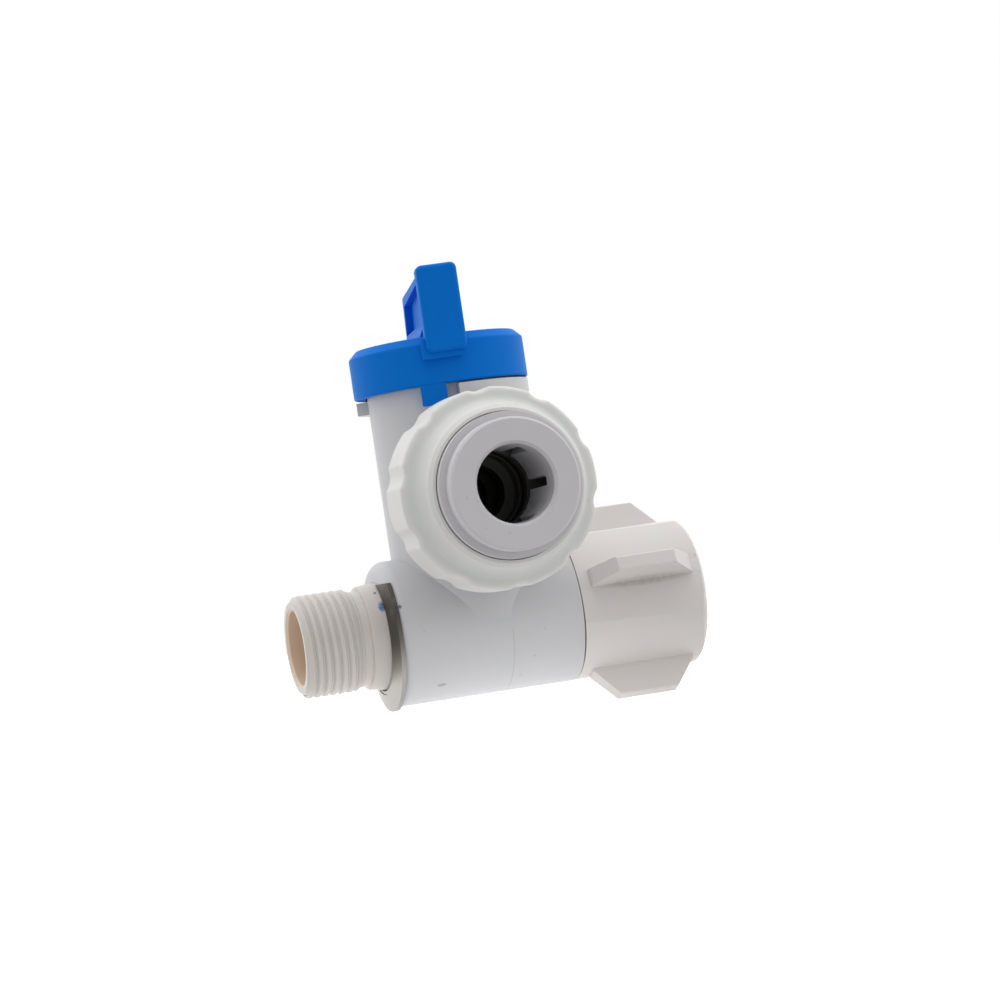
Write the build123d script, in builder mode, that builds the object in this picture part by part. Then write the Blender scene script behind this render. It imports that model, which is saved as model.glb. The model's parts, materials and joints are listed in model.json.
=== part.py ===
"""Plastic angle valve: swivel-nut inlet, threaded outlet, quarter-turn handle and push-fit tube port."""
import os
from math import cos, radians, sin

from build123d import *

os.makedirs("parts", exist_ok=True)

# Driving dimensions, in millimetres and degrees

# Clearances: fitted pieces, pieces that move past each other, the plug, the stem and the thrust washer
fit_gap = 0.05
running_gap = 0.3
plug_clearance = 0.08
stem_clearance = 0.1
thrust_gap = 0.1
ring_groove_slack = 0.2

# Run: the horizontal barrel, measured along it from the upright axis
run_left = 16.3
run_right = 14.85
run_wall = 3.08
run_end_round = 2.2
run_bore_radius = 5.0

# Upright barrel that holds the plug, with the chamber measured from the port's axis
port_height = 20.2
chamber_drop = 9.2
chamber_radius = 8.0
barrel_wall = 2.6
barrel_reach = 3.6
riser_radius = 3.5

# Stop flange under the handle, with a gap in which the handle's tab travels
flange_lift = 5.0
flange_thickness = 2.1
flange_inset = 0.1
stop_angle_open = -3.0
stop_slack = 0.5
quarter_turn = 90.0

# Tube port, measured outwards
port_way_radius = 4.6
face_seal_width = 1.0
face_seal_depth = 1.8
tube_stop_wall = 2.8
tube_radius = 6.0
tube_slack = 0.2
tube_guide_length = 2.8
tube_ring_cord = 2.7
tube_ring_cavity_length = 3.0
spacer_ledge = 0.65
spacer_thickness = 1.8
collet_chamber_length = 6.6
port_spigot_wall = 2.5

# Collar: fluted ring with a dished front, screwed on the port spigot
collar_standoff = 5.0
collar_depth = 9.5
collar_wall = 3.8
collar_rim_round = 0.8
collar_back_step = 0.4
collar_web = 1.35
collar_lip_height = 2.0
collar_lip_width = 1.1
collar_lip_round = 0.6
collar_mouth_inset = 0.5
collar_dish_sag = 0.9
collar_skirt_length = 4.0
collar_skirt_edge = 0.3
flute_count = 10
flute_depth = 0.5
flute_cutter_radius = 3.6
flute_edge = 1.2
lobe_angle = 4.0

# Collet: slit sleeve with heads inside and a pressing flange outside
collet_travel = 1.3
collet_wall = 1.2
collet_shoulder_gap = 0.15
collet_head_room = 0.8
collet_head_length = 2.8
collet_head_slope = 1.4
collet_shoulder_lift = 0.6
collet_shoulder_length = 1.4
collet_flange_inset = 1.1
collet_flange_length = 3.2
collet_flange_edge = 0.35
collet_lead_in = 0.45
finger_count = 6
finger_slot = 1.6
finger_length = 9.8
tooth_place = 1.2
tooth_width = 3.2
tooth_thickness = 0.4
tooth_height = 1.3

# Inlet spigot, its snap ring and its cone washer
spigot_wall = 1.8
spigot_land = 4.75
spigot_nose_length = 1.5
spigot_nose_step = 0.8
snap_groove_depth = 0.7
snap_ring_width = 1.1
snap_ring_rise = 1.2
snap_ring_opening = 40.0
washer_wall = 1.2
washer_reach = 1.8
washer_taper = 1.5
washer_bore_inset = 0.3

# Inlet nut: swivel collar behind the snap ring, threaded mouth, and flattened sides with sloping wings
nut_standoff = 0.6
nut_swivel_gap = 0.1
nut_collar_length = 2.4
nut_cavity_room = 0.6
nut_edge_round = 1.9
nut_corner_rise = 0.35
nut_side_drop = 0.5
inlet_thread_radius = 7.475
inlet_thread_length = 9.5
inlet_mouth_chamfer = 0.6
wing_count = 4
wing_angle = 21.0
wing_height = 4.4
wing_root_width = 3.0
wing_sink = 1.2
wing_tip_width = 2.5
wing_inset_left = 1.55
wing_inset_right = 2.2
wing_ramp = 3.65
wing_edge = 0.35

# Outlet nipple: thread at its major size, relief groove, collar and a spigot with two ring grooves
nipple_thread_radius = 8.331
nipple_thread_length = 9.4
nipple_end_chamfer = 0.8
nipple_relief_depth = 0.58
nipple_relief_length = 1.5
nipple_relief_slope = 0.25
nipple_collar_rise = 0.389
nipple_collar_step = 0.32
nipple_collar_reach = 3.1
nipple_collar_lead = 2.6
nipple_depth = 9.3
nipple_bore_radius = 6.1
nipple_bore_chamfer = 0.4
nipple_ring_cord = 1.6
nipple_ring_inset = 2.0
nipple_ring_pitch = 3.4

# Retaining clip: a dished ring on the body's left end, cut level at the top and drawn out at the bottom
clip_thickness = 0.7
clip_dish = 0.75
clip_proud = 0.4
clip_hole_gap = 0.28
clip_top = 8.2
clip_lip_reach = 0.6

# Plug and stem
plug_foot_gap = 0.2
plug_length = 18.6
plug_way_radius = 4.0
plug_ring_cord = 1.6
plug_ring_inset = 2.5
stem_radius = 4.5
stem_ring_cord = 1.0
stem_ring_inset = 1.6
drive_square = 6.2
drive_headroom = 0.4
thrust_washer_thickness = 1.0
retainer_ledge = 1.55
retainer_length = 5.6
retainer_slot_width = 2.4
retainer_slot_depth = 1.2

# Handle: a cap over the barrel with a lever across it, turned from straight ahead by handle_angle
handle_angle = -7.7
cap_wall = 1.8
cap_roof = 2.3
cap_headroom = 2.0
cap_edge = 1.3
cap_edge_round = 0.5
cap_rim_round = 0.3
cap_hub_radius = 6.0
cap_hub_gap = 2.3
tab_angle = 17.0
tab_drop = 0.8
lever_plate_width = 6.6
lever_plate_depth = 2.6
lever_plate_drop = 3.0
lever_plate_corner = 1.0
lever_plate_edge = 0.7
lever_top_edge = 0.6
lever_waist = 5.4
lever_front_height = 11.1
lever_front_overhang = 1.7
lever_rear_height = 9.0
lever_rear_overhang = 0.7
lever_rear_rake = 2.0
lever_rear_lift = 1.5
lever_rear_round = 1.4
lever_foot_spread = 0.9
lever_foot_height = 1.9
lever_foot_setback = 2.5
lever_foot_front = 10.5
lever_pocket_depth = 1.2
lever_pocket_lift = 2.4
lever_rim = 1.8
pad_width = 6.4
pad_offset = 0.8
pad_drop = 3.9
pad_overhang = 0.9

# Worked-out sizes: run, nipple and clip
FULL_TURN = 360.0
overshoot = 1.0
nipple_collar_radius = nipple_thread_radius + nipple_collar_rise
nipple_socket_radius = nipple_collar_radius + fit_gap
nipple_groove_radius = nipple_socket_radius - nipple_ring_cord
nipple_inner_end = run_left - nipple_depth
relief_end = run_left + nipple_collar_reach
thread_end = relief_end + nipple_relief_length
nipple_end = thread_end + nipple_thread_length
run_radius = nipple_socket_radius + run_wall
clip_hole_radius = nipple_collar_radius + clip_hole_gap

# Worked-out sizes: upright barrel, plug and handle
chamber_floor = port_height - chamber_drop
plug_radius = chamber_radius - plug_clearance
plug_bottom = chamber_floor + plug_foot_gap
plug_top = plug_bottom + plug_length
chamber_top = plug_top + thrust_washer_thickness + 2 * thrust_gap
retainer_radius = chamber_radius + retainer_ledge
retainer_bore_radius = stem_radius + stem_clearance
retainer_top = chamber_top + retainer_length
barrel_radius = retainer_radius + fit_gap + barrel_wall
flange_bottom = chamber_top + flange_lift
flange_top = flange_bottom + flange_thickness
cap_bottom = flange_top + running_gap
barrel_top = cap_bottom + barrel_reach
cap_ceiling = barrel_top + cap_headroom
cap_top = cap_ceiling + cap_roof
cap_inner_radius = barrel_radius + running_gap
cap_radius = cap_inner_radius + cap_wall
drive_top = cap_ceiling - drive_headroom
stop_gap_angle = tab_angle + quarter_turn + 2 * stop_slack
tab_lead_angle = stop_angle_open + handle_angle - stop_slack
lever_front = cap_radius + lever_front_overhang
lever_rear = cap_radius + lever_rear_overhang

# Worked-out sizes: tube port, collar and collet
face_seal_radius = port_way_radius + face_seal_width
face_seal_reach = chamber_radius + face_seal_depth
tube_stop = face_seal_reach + tube_stop_wall
tube_bore_radius = tube_radius + tube_slack
tube_ring_seat = tube_stop + tube_guide_length
tube_ring_middle = tube_bore_radius + fit_gap + tube_ring_cord / 2
tube_ring_cavity_radius = tube_bore_radius + tube_ring_cord + 2 * fit_gap
spacer_place = tube_ring_seat + tube_ring_cavity_length
collet_cavity_radius = tube_ring_cavity_radius + spacer_ledge
collet_inner_end = spacer_place + spacer_thickness + collet_travel + running_gap
port_spigot_radius = collet_cavity_radius + port_spigot_wall
port_spigot_length = collet_inner_end + collet_chamber_length
collar_bore_radius = port_spigot_radius + fit_gap
collar_radius = collar_bore_radius + collar_wall
collar_core_radius = collar_radius - flute_depth - collar_rim_round - fit_gap
collar_back = barrel_radius + collar_standoff
collar_rim = collar_back + collar_depth
collar_seat = port_spigot_length + fit_gap
collar_floor = collar_seat + collar_web
collar_lip = collar_floor + collar_lip_height
collar_mouth_radius = port_spigot_radius - collar_mouth_inset
collar_lip_radius = collar_mouth_radius + collar_lip_width
collet_sleeve_radius = tube_bore_radius + collet_wall
collar_neck_radius = collet_sleeve_radius + running_gap
collet_head_radius = collet_cavity_radius - collet_head_room
collet_shoulder_back = collar_floor + collet_travel + collet_shoulder_lift
collet_shoulder_front = collet_shoulder_back + collet_shoulder_length
collet_shoulder_radius = collar_mouth_radius - collet_shoulder_gap
collet_face = collet_shoulder_front + collet_flange_length
collet_flange_radius = collet_shoulder_radius - collet_flange_inset

# Worked-out sizes: inlet spigot and nut
spigot_radius = run_bore_radius + spigot_wall
spigot_nose_radius = spigot_radius - spigot_nose_step
nut_left = run_right + nut_standoff
nut_collar_end = nut_left + nut_collar_length
nut_neck_radius = spigot_radius + nut_swivel_gap
snap_groove_place = nut_collar_end + running_gap
snap_groove_radius = spigot_radius - snap_groove_depth
snap_groove_end = snap_groove_place + snap_ring_width + 2 * fit_gap
snap_ring_radius = spigot_radius + snap_ring_rise
spigot_end = snap_groove_end + spigot_land
washer_tip = spigot_end + washer_reach
washer_radius = spigot_nose_radius + washer_wall
inlet_thread_start = washer_tip + running_gap
inlet_mouth = inlet_thread_start + inlet_thread_length
nut_right = inlet_mouth + inlet_mouth_chamfer
nut_cavity_radius = snap_ring_radius + nut_cavity_room
nut_radius = run_radius + nut_corner_rise
wing_spacing = FULL_TURN / wing_count
nut_side_bulge = nut_radius * (1 - cos(radians(wing_spacing / 2))) - nut_side_drop
wing_start = nut_left + wing_inset_left
wing_end = nut_right - wing_inset_right

# Frame: the origin is at the mouth of the inlet thread, and +X points out of it
HUB = Vector(-inlet_mouth, 0, 0)
PORT_CENTRE = HUB + Vector(0, 0, port_height)
RUN = Plane(origin=HUB, x_dir=(1, 0, 0), z_dir=(0, -1, 0))
PORT = Plane(origin=PORT_CENTRE, x_dir=(0, -1, 0), z_dir=(1, 0, 0))
RUN_AXIS = Axis(HUB, (1, 0, 0))
STEM_AXIS = Axis(HUB, (0, 0, 1))
PORT_AXIS = Axis(PORT_CENTRE, (0, -1, 0))


def ahead(angle):
    """Level direction turned by an angle from straight ahead, counted towards the inlet."""
    return Vector(sin(radians(angle)), -cos(radians(angle)), 0)


def beside_stem(angle):
    """Upright plane through the stem's axis: local x leads out at an angle, local y is height."""
    out = ahead(angle)
    return Plane(origin=HUB, x_dir=out, z_dir=(out.Y, -out.X, 0))


def level(height):
    """Level plane on the stem's axis, with local x along the lever."""
    return Plane(origin=HUB + Vector(0, 0, height), x_dir=ahead(handle_angle), z_dir=(0, 0, 1))


def across_run(place):
    """Plane square to the run, facing the inlet."""
    return Plane(origin=HUB + Vector(place, 0, 0), x_dir=(0, -1, 0), z_dir=(1, 0, 0))


def across_port(place):
    """Plane square to the port, facing out of it, with local x along the run."""
    return Plane(origin=PORT_CENTRE + Vector(0, -place, 0), x_dir=(1, 0, 0), z_dir=(0, -1, 0))


def across_lever(place, height):
    """Upright plane square to the lever, facing forward, with local y up."""
    out = ahead(handle_angle)
    return Plane(origin=HUB + out * place + Vector(0, 0, height), x_dir=(-out.Y, out.X, 0), z_dir=out)


def outline(plane, *points):
    """Closed straight-sided face on a plane."""
    with BuildSketch(plane) as face:
        with BuildLine():
            Polyline(*points, close=True)
        make_face()
    return face.sketch


def band(plane, x_low, x_high, y_low, y_high):
    """Rectangular face on a plane, by its limits."""
    return outline(plane, (x_low, y_low), (x_high, y_low), (x_high, y_high), (x_low, y_high))


def disc(plane, radius):
    """Round face on a plane."""
    with BuildSketch(plane) as face:
        Circle(radius)
    return face.sketch


def cord_section(plane, x, y, cord):
    """Round section of an O-ring."""
    with BuildSketch(plane) as face:
        with Locations((x, y)):
            Circle(cord / 2)
    return face.sketch


def finish(builder, name):
    """Labels a finished piece and writes its STEP file."""
    builder.part.label = name
    export_step(builder.part, f"parts/{name}.step")


# Retaining clip: its lower half is repeated further down, so that a lip stands below the run
CLIP_CUT = Plane(origin=HUB + Vector(0, 0, clip_top))
CLIP_LIP = RUN.rotated((FULL_TURN / 4, 0, 0))
CLIP_LIP_SHIFT = Vector(0, 0, -clip_lip_reach)


def clip_front(radius):
    """Place along the run of the clip's front face at a radius."""
    slope = clip_dish / (run_radius - clip_hole_radius)
    return -run_left - clip_proud + slope * (radius - clip_hole_radius)


def clip_section(plane):
    """Section of the dished sheet, from its hole out to the run's radius."""
    return outline(
        plane,
        (clip_front(clip_hole_radius), clip_hole_radius),
        (clip_front(run_radius), run_radius),
        (clip_front(run_radius) + clip_thickness, run_radius),
        (clip_front(clip_hole_radius) + clip_thickness, clip_hole_radius),
    )


with BuildPart() as retaining_clip:
    revolve(clip_section(RUN), RUN_AXIS)
    lip_half = revolve(clip_section(CLIP_LIP), RUN_AXIS, FULL_TURN / 2, mode=Mode.PRIVATE)
    add(lip_half.moved(Location(CLIP_LIP_SHIFT)))
    split(bisect_by=CLIP_CUT, keep=Keep.BOTTOM)
finish(retaining_clip, "retaining_clip")

# Body: one moulding with the run, the valve barrel, the port spigot and the inlet spigot
port_steps = (
    (0, 0),
    (0, port_way_radius),
    (tube_stop, port_way_radius),
    (tube_stop, tube_bore_radius),
    (tube_ring_seat, tube_bore_radius),
    (tube_ring_seat, tube_ring_cavity_radius),
    (spacer_place, tube_ring_cavity_radius),
    (spacer_place, collet_cavity_radius),
    (port_spigot_length + overshoot, collet_cavity_radius),
    (port_spigot_length + overshoot, 0),
)
clip_seat_low = nipple_collar_radius - overshoot
clip_seat_high = run_radius + overshoot

with BuildPart() as body:
    with BuildSketch(RUN) as run_half:
        with BuildLine():
            Polyline(
                (-run_left, 0),
                (-run_left, run_radius),
                (run_right, run_radius),
                (run_right, spigot_radius),
                (spigot_end - spigot_nose_length, spigot_radius),
                (spigot_end - spigot_nose_length, spigot_nose_radius),
                (spigot_end, spigot_nose_radius),
                (spigot_end, 0),
                close=True,
            )
        make_face()
        fillet(run_half.vertices().group_by(Axis.X)[0].sort_by(Axis.Y)[-1], run_end_round)
    revolve(axis=RUN_AXIS)
    extrude(disc(level(0), barrel_radius), barrel_top)
    extrude(disc(across_port(0), port_spigot_radius), port_spigot_length)
    flange_section = band(
        beside_stem(stop_angle_open), chamber_radius, cap_radius - flange_inset, flange_bottom, flange_top
    )
    revolve(flange_section, STEM_AXIS, FULL_TURN - stop_gap_angle)
    # Waterways
    extrude(disc(across_run(-run_left), run_bore_radius), run_left + spigot_end, mode=Mode.SUBTRACT)
    extrude(disc(level(0), riser_radius), chamber_floor, mode=Mode.SUBTRACT)
    extrude(disc(level(chamber_floor), chamber_radius), barrel_top - chamber_floor, mode=Mode.SUBTRACT)
    revolve(outline(PORT, *port_steps), PORT_AXIS, mode=Mode.SUBTRACT)
    # Seats for the nipple, the plug retainer, the face seal, the snap ring and the clip
    nipple_mouth = across_run(-run_left - overshoot)
    extrude(disc(nipple_mouth, nipple_socket_radius), nipple_depth + overshoot, mode=Mode.SUBTRACT)
    extrude(disc(level(chamber_top), retainer_radius + fit_gap), barrel_top - chamber_top, mode=Mode.SUBTRACT)
    extrude(disc(across_port(0), face_seal_radius + fit_gap), face_seal_reach, mode=Mode.SUBTRACT)
    snap_groove = band(RUN, snap_groove_place, snap_groove_end, snap_groove_radius, spigot_radius + overshoot)
    revolve(snap_groove, RUN_AXIS, mode=Mode.SUBTRACT)
    clip_seat = outline(
        RUN,
        (clip_front(clip_seat_low) + clip_thickness, clip_seat_low),
        (clip_front(clip_seat_high) + clip_thickness, clip_seat_high),
        (-run_left - overshoot, clip_seat_high),
        (-run_left - overshoot, clip_seat_low),
    )
    clip_room = revolve(clip_seat, RUN_AXIS, mode=Mode.PRIVATE)
    add(split(clip_room, bisect_by=CLIP_CUT, keep=Keep.BOTTOM, mode=Mode.PRIVATE), mode=Mode.SUBTRACT)
finish(body, "body")

# Outlet nipple and its O-rings
nipple_ring_places = {
    "nipple_o_ring_inner": -nipple_inner_end - nipple_ring_inset,
    "nipple_o_ring_outer": -nipple_inner_end - nipple_ring_inset - nipple_ring_pitch,
}

with BuildPart() as outlet_nipple:
    nipple_half = outline(
        RUN,
        (-nipple_end, nipple_bore_radius + nipple_bore_chamfer),
        (-nipple_end, nipple_thread_radius - nipple_end_chamfer),
        (-nipple_end + nipple_end_chamfer, nipple_thread_radius),
        (-thread_end, nipple_thread_radius),
        (-thread_end + nipple_relief_slope, nipple_thread_radius - nipple_relief_depth),
        (-relief_end, nipple_thread_radius - nipple_relief_depth),
        (-relief_end + nipple_relief_slope, nipple_collar_radius - nipple_collar_step),
        (-relief_end + nipple_collar_lead, nipple_collar_radius),
        (-nipple_inner_end, nipple_collar_radius),
        (-nipple_inner_end, nipple_bore_radius),
        (-nipple_end + nipple_bore_chamfer, nipple_bore_radius),
    )
    revolve(nipple_half, RUN_AXIS)
    groove_half = nipple_ring_cord / 2 + ring_groove_slack
    for place in nipple_ring_places.values():
        groove = band(RUN, place - groove_half, place + groove_half, nipple_groove_radius, nipple_socket_radius)
        revolve(groove, RUN_AXIS, mode=Mode.SUBTRACT)
finish(outlet_nipple, "outlet_nipple")

for ring_name, place in nipple_ring_places.items():
    with BuildPart() as nipple_ring:
        ring_middle = nipple_groove_radius + nipple_ring_cord / 2
        revolve(cord_section(RUN, place, ring_middle, nipple_ring_cord), RUN_AXIS)
    finish(nipple_ring, ring_name)

# Inlet nut: four bulged sides that meet at corners midway between the wings
def nut_corner(index):
    """Corner of the nut's section that comes after a wing."""
    turn = radians(-wing_angle - wing_spacing / 2 - index * wing_spacing)
    return (nut_radius * cos(turn), nut_radius * sin(turn))


with BuildPart() as inlet_nut:
    nut_half = outline(
        RUN,
        (nut_left, nut_neck_radius),
        (nut_left, nut_radius),
        (nut_right, nut_radius),
        (nut_right, inlet_thread_radius + inlet_mouth_chamfer),
        (inlet_mouth, inlet_thread_radius),
        (inlet_thread_start, inlet_thread_radius),
        (inlet_thread_start, nut_cavity_radius),
        (nut_collar_end, nut_cavity_radius),
        (nut_collar_end, nut_neck_radius),
    )
    revolve(nut_half, RUN_AXIS)
    fillet(inlet_nut.faces().sort_by(Axis.X)[-1].outer_wire().edges(), nut_edge_round)
    with BuildSketch(across_run(nut_left - overshoot)):
        with BuildLine():
            for index in range(wing_count):
                SagittaArc(nut_corner(index), nut_corner(index + 1), nut_side_bulge)
        make_face()
    extrude(amount=nut_right - nut_left + 2 * overshoot, mode=Mode.INTERSECT)
    wing_middle = HUB + Vector((wing_start + wing_end) / 2, 0, 0)
    wing_length = wing_end - wing_start
    for index in range(wing_count):
        lift = radians(wing_angle + index * wing_spacing)
        out = Vector(0, -cos(lift), sin(lift))
        foot_plane = Plane(origin=wing_middle + out * nut_radius, x_dir=(1, 0, 0), z_dir=out)
        with BuildSketch(foot_plane) as wing_foot:
            Rectangle(wing_length, wing_root_width)
        with BuildSketch(foot_plane.offset(wing_height)) as wing_tip:
            Rectangle(wing_length - 2 * wing_ramp, wing_tip_width)
        loft([wing_foot.sketch.face(), wing_tip.sketch.face()])
        extrude(wing_foot.sketch, -wing_sink)
        fillet(inlet_nut.faces().sort_by(Axis(wing_middle, out))[-1].edges(), wing_edge)
finish(inlet_nut, "inlet_nut")

# Snap ring that keeps the nut on the spigot, open at the bottom
with BuildPart() as nut_snap_ring:
    ring_start = RUN.rotated((FULL_TURN / 2 + snap_ring_opening / 2, 0, 0))
    ring_left = snap_groove_place + fit_gap
    ring_section = band(
        ring_start, ring_left, ring_left + snap_ring_width, snap_groove_radius + fit_gap, snap_ring_radius
    )
    revolve(ring_section, RUN_AXIS, FULL_TURN - snap_ring_opening)
finish(nut_snap_ring, "nut_snap_ring")

# Cone washer pushed over the spigot's nose
with BuildPart() as cone_washer:
    washer_half = outline(
        RUN,
        (spigot_end - spigot_nose_length, spigot_nose_radius),
        (spigot_end - spigot_nose_length, washer_radius),
        (spigot_end, washer_radius),
        (washer_tip, washer_radius - washer_taper),
        (washer_tip, run_bore_radius - washer_bore_inset),
        (spigot_end, run_bore_radius - washer_bore_inset),
        (spigot_end, spigot_nose_radius),
    )
    revolve(washer_half, RUN_AXIS)
finish(cone_washer, "cone_washer")

# Plug with its stem: an angled way from the bottom to the side, O-ring grooves and a square drive
plug_groove_radius = plug_radius + plug_clearance / 2 - plug_ring_cord
stem_groove_radius = stem_radius + stem_clearance / 2 - stem_ring_cord
plug_ring_places = {
    "plug_lower_o_ring": plug_bottom + plug_ring_inset,
    "plug_upper_o_ring": plug_top - plug_ring_inset,
}
stem_ring_places = {
    "stem_lower_o_ring": chamber_top + stem_ring_inset,
    "stem_upper_o_ring": retainer_top - stem_ring_inset,
}

with BuildPart() as valve_plug:
    extrude(disc(level(plug_bottom), plug_radius), plug_length)
    extrude(disc(level(plug_top), stem_radius), retainer_top - plug_top)
    with BuildSketch(level(retainer_top)):
        Rectangle(drive_square, drive_square)
    extrude(amount=drive_top - retainer_top)
    extrude(disc(level(plug_bottom), plug_way_radius), port_height - plug_bottom, mode=Mode.SUBTRACT)
    extrude(disc(across_lever(0, port_height), plug_way_radius), chamber_radius, mode=Mode.SUBTRACT)
    for place in plug_ring_places.values():
        groove_half = plug_ring_cord / 2 + ring_groove_slack
        groove = band(RUN, plug_groove_radius, chamber_radius, place - groove_half, place + groove_half)
        revolve(groove, STEM_AXIS, mode=Mode.SUBTRACT)
    for place in stem_ring_places.values():
        groove_half = stem_ring_cord / 2 + ring_groove_slack
        groove = band(RUN, stem_groove_radius, chamber_radius, place - groove_half, place + groove_half)
        revolve(groove, STEM_AXIS, mode=Mode.SUBTRACT)
finish(valve_plug, "valve_plug")

for ring_name, place in plug_ring_places.items():
    with BuildPart() as plug_ring:
        ring_middle = plug_groove_radius + plug_ring_cord / 2
        revolve(cord_section(RUN, ring_middle, place, plug_ring_cord), STEM_AXIS)
    finish(plug_ring, ring_name)

for ring_name, place in stem_ring_places.items():
    with BuildPart() as stem_ring:
        ring_middle = stem_groove_radius + stem_ring_cord / 2
        revolve(cord_section(RUN, ring_middle, place, stem_ring_cord), STEM_AXIS)
    finish(stem_ring, ring_name)

# Face seal between the plug and the port, hollowed to the chamber's wall
with BuildPart() as port_face_seal:
    extrude(disc(across_port(0), face_seal_radius), face_seal_reach)
    extrude(disc(across_port(0), port_way_radius), face_seal_reach, mode=Mode.SUBTRACT)
    extrude(disc(level(chamber_floor), chamber_radius), chamber_top - chamber_floor, mode=Mode.SUBTRACT)
finish(port_face_seal, "port_face_seal")

# Thrust washer between the plug and its retainer
with BuildPart() as thrust_washer:
    with BuildSketch(level(plug_top + thrust_gap)):
        Circle(plug_radius)
        Circle(retainer_bore_radius, mode=Mode.SUBTRACT)
    extrude(amount=thrust_washer_thickness)
finish(thrust_washer, "thrust_washer")

# Plug retainer with spanner slots across its top
with BuildPart() as plug_retainer:
    with BuildSketch(level(chamber_top)):
        Circle(retainer_radius)
        Circle(retainer_bore_radius, mode=Mode.SUBTRACT)
    extrude(amount=retainer_length)
    with BuildSketch(level(retainer_top - retainer_slot_depth)):
        Rectangle(2 * retainer_radius, retainer_slot_width)
    extrude(amount=retainer_slot_depth, mode=Mode.SUBTRACT)
finish(plug_retainer, "plug_retainer")

# Handle: cap with a square socket and a stop tab, and a lever across it with a plate at its front end
with BuildPart() as handle:
    extrude(disc(level(cap_bottom), cap_radius), cap_top - cap_bottom)
    chamfer(handle.faces().sort_by(Axis.Z)[-1].edges(), cap_edge)
    fillet(handle.edges().filter_by(GeomType.CIRCLE).sort_by(Axis.Z)[-2:], cap_edge_round)
    fillet(handle.edges().filter_by(GeomType.CIRCLE).sort_by(Axis.Z)[0], cap_rim_round)
    # Bar of the lever, drawn from its side
    with BuildSketch(beside_stem(handle_angle).offset(-lever_waist / 2)) as lever_side:
        with BuildLine():
            Polyline(
                (lever_front - lever_plate_depth / 2, cap_top - cap_roof / 2),
                (lever_front - lever_plate_depth / 2, cap_top + lever_front_height - lever_plate_corner / 2),
                (-lever_rear + lever_rear_rake, cap_top + lever_rear_height),
                (-lever_rear, cap_top + lever_rear_lift),
                (-lever_rear + lever_rear_rake, cap_top - cap_roof / 2),
                close=True,
            )
        make_face()
        rear_top = lever_side.vertices().filter_by_position(Axis.X, -lever_rear, 0).sort_by(Axis.Y)[-1]
        fillet(rear_top, lever_rear_round)
    extrude(amount=lever_waist)
    fillet(handle.faces().sort_by(Axis.Z)[-1].edges().sort_by(SortBy.LENGTH)[-2:], lever_top_edge)
    # Pockets in the bar's sides, left open towards the plate
    pocket = (
        (lever_front - lever_plate_depth / 2, cap_top + lever_pocket_lift),
        (lever_front - lever_plate_depth / 2, cap_top + lever_front_height - lever_rim),
        (-lever_rear + lever_rear_rake + lever_rim, cap_top + lever_rear_height - lever_rim),
        (-lever_rear + lever_rim, cap_top + lever_pocket_lift),
    )
    for side in (-1, 1):
        pocket_plane = beside_stem(handle_angle).offset(side * lever_waist / 2)
        extrude(outline(pocket_plane, *pocket), -side * lever_pocket_depth, mode=Mode.SUBTRACT)
    # Flared foot along the bar
    foot_half = lever_waist / 2 + lever_foot_spread
    foot_section = outline(
        across_lever(-cap_radius + lever_foot_setback, cap_top),
        (-foot_half, -cap_edge),
        (-foot_half, 0),
        (-lever_waist / 2, lever_foot_height),
        (lever_waist / 2, lever_foot_height),
        (foot_half, 0),
        (foot_half, -cap_edge),
    )
    extrude(foot_section, lever_foot_front + cap_radius - lever_foot_setback)
    # Pad on the skirt below the front plate, and the plate
    with BuildSketch(across_lever(cap_inner_radius + running_gap, cap_top - pad_drop)):
        with Locations((-pad_offset, 0)):
            Rectangle(pad_width, pad_drop - cap_edge / 2, align=(Align.CENTER, Align.MIN))
    extrude(amount=cap_radius + pad_overhang - cap_inner_radius - running_gap)
    plate_height = lever_front_height + lever_plate_drop
    with BuildSketch(across_lever(lever_front, cap_top - lever_plate_drop)):
        with Locations((0, plate_height / 2)):
            RectangleRounded(lever_plate_width, plate_height, lever_plate_corner)
    extrude(amount=-lever_plate_depth)
    lever_line = Axis(HUB, ahead(handle_angle))
    fillet(handle.faces().sort_by(lever_line)[-1].edges(), lever_plate_edge)
    # Hollow, hub with its socket, and stop tab
    extrude(disc(level(cap_bottom), cap_inner_radius), cap_ceiling - cap_bottom, mode=Mode.SUBTRACT)
    extrude(disc(level(retainer_top + cap_hub_gap), cap_hub_radius), cap_ceiling - retainer_top - cap_hub_gap)
    with BuildSketch(level(retainer_top)):
        Rectangle(drive_square + 2 * fit_gap, drive_square + 2 * fit_gap)
    extrude(amount=cap_ceiling - retainer_top, mode=Mode.SUBTRACT)
    tab_section = band(
        beside_stem(tab_lead_angle - tab_angle),
        cap_inner_radius + flange_inset,
        cap_radius - flange_inset,
        flange_bottom - tab_drop,
        cap_bottom + cap_wall,
    )
    revolve(tab_section, STEM_AXIS, tab_angle)
finish(handle, "handle")

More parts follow.
